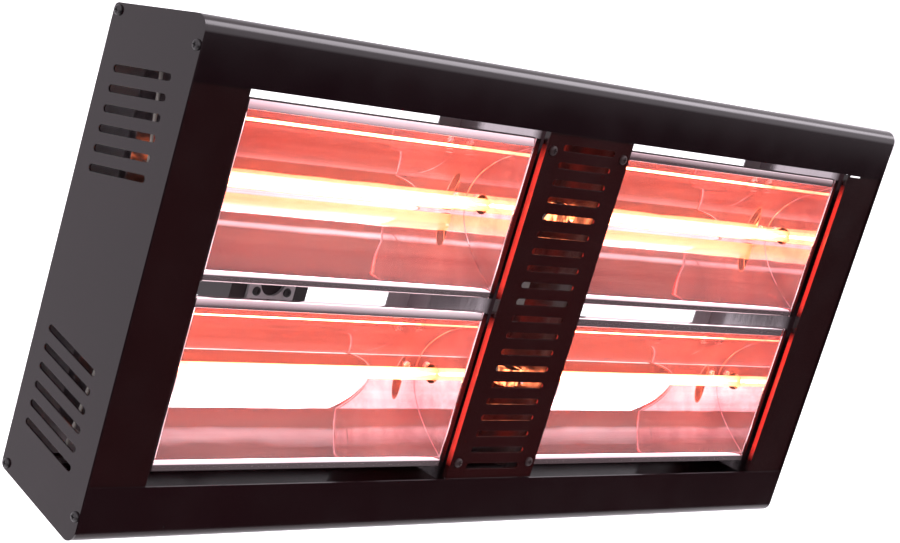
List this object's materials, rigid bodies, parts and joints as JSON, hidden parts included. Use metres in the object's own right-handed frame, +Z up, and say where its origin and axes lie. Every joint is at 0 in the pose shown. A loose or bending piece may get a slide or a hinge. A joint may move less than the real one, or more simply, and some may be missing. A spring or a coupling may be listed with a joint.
{
  "type": "infrared quartz heater",
  "caption": "Wall-hung radiant heater: paired halogen lamps in parabolic reflectors, a black sheet-metal casing with vented ends and centre, and a tilting rear bracket.",
  "frame": {"origin": "middle of the wall bracket's bolt pattern, on the face that lies against the wall", "axes": "+X along the casing's length, +Y into the wall, +Z up; the lamps face -Y"},
  "size_m": [0.8548, 0.2027, 0.3958],
  "materials": {
    "casing_paint": "satin",
    "bracket_paint": "satin",
    "black_screws": "satin",
    "dark_rivets": "satin",
    "bright_sheet": "satin",
    "mirror_aluminium": "polished",
    "plated_steel": "satin",
    "dark_steel": "satin",
    "spring_steel": "satin",
    "lead_sleeve": "matte",
    "lamp_ceramic": "matte",
    "brass_screws": "satin",
    "gland_plastic": "satin",
    "zinc_bolts": "satin",
    "quartz": "gloss",
    "filament": "satin"
  },
  "bodies": {
    "bracket": {"wall_bracket": "bracket_paint", "arm_plates": "plated_steel", "arm_plate_screws": "black_screws", "pivot_bolts": "zinc_bolts", "pivot_washers": "zinc_bolts", "pivot_nuts": "zinc_bolts"},
    "heater": {"top_shell": "casing_paint", "bottom_shell": "casing_paint", "centre_back_plate": "plated_steel", "left_back_plate": "plated_steel", "right_back_plate": "plated_steel", "back_rivets": "dark_rivets", "back_rail": "bracket_paint", "left_end_plate": "casing_paint", "right_end_plate": "casing_paint", "end_plate_screws": "black_screws", "left_stile": "casing_paint", "right_stile": "casing_paint", "centre_cover": "casing_paint", "centre_cover_screws": "black_screws", "centre_channel": "plated_steel", "left_inner_post": "dark_steel", "right_inner_post": "dark_steel", "left_outer_post": "dark_steel", "right_outer_post": "dark_steel", "reflector_rivets": "bright_sheet", "upper_left_reflector": "mirror_aluminium", "upper_right_reflector": "mirror_aluminium", "lower_left_reflector": "mirror_aluminium", "lower_right_reflector": "mirror_aluminium", "upper_left_outer_cheek": "mirror_aluminium", "upper_left_inner_cheek": "mirror_aluminium", "upper_right_outer_cheek": "mirror_aluminium", "upper_right_inner_cheek": "mirror_aluminium", "lower_left_outer_cheek": "mirror_aluminium", "lower_left_inner_cheek": "mirror_aluminium", "lower_right_outer_cheek": "mirror_aluminium", "lower_right_inner_cheek": "mirror_aluminium", "upper_left_tube": "quartz", "upper_right_tube": "quartz", "lower_left_tube": "quartz", "lower_right_tube": "quartz", "upper_left_filament": "filament", "upper_right_filament": "filament", "lower_left_filament": "filament", "lower_right_filament": "filament", "upper_left_bases": "lamp_ceramic", "upper_right_bases": "lamp_ceramic", "lower_left_bases": "lamp_ceramic", "lower_right_bases": "lamp_ceramic", "lamp_clips": "spring_steel", "lamp_leads": "lead_sleeve", "terminal_block": "lamp_ceramic", "terminal_screws": "brass_screws", "cable_gland": "gland_plastic", "gland_nut": "gland_plastic", "left_ear": "bracket_paint", "right_ear": "bracket_paint", "ear_bolts": "zinc_bolts", "ear_nuts": "zinc_bolts"}
  },
  "joints": [
    {"name": "tilt", "type": "hinge", "parent": "bracket", "child": "heater", "pos_m": [0, -0.064, 0], "axis": [1, 0, 0], "range_deg": [-30, 30]}
  ]
}
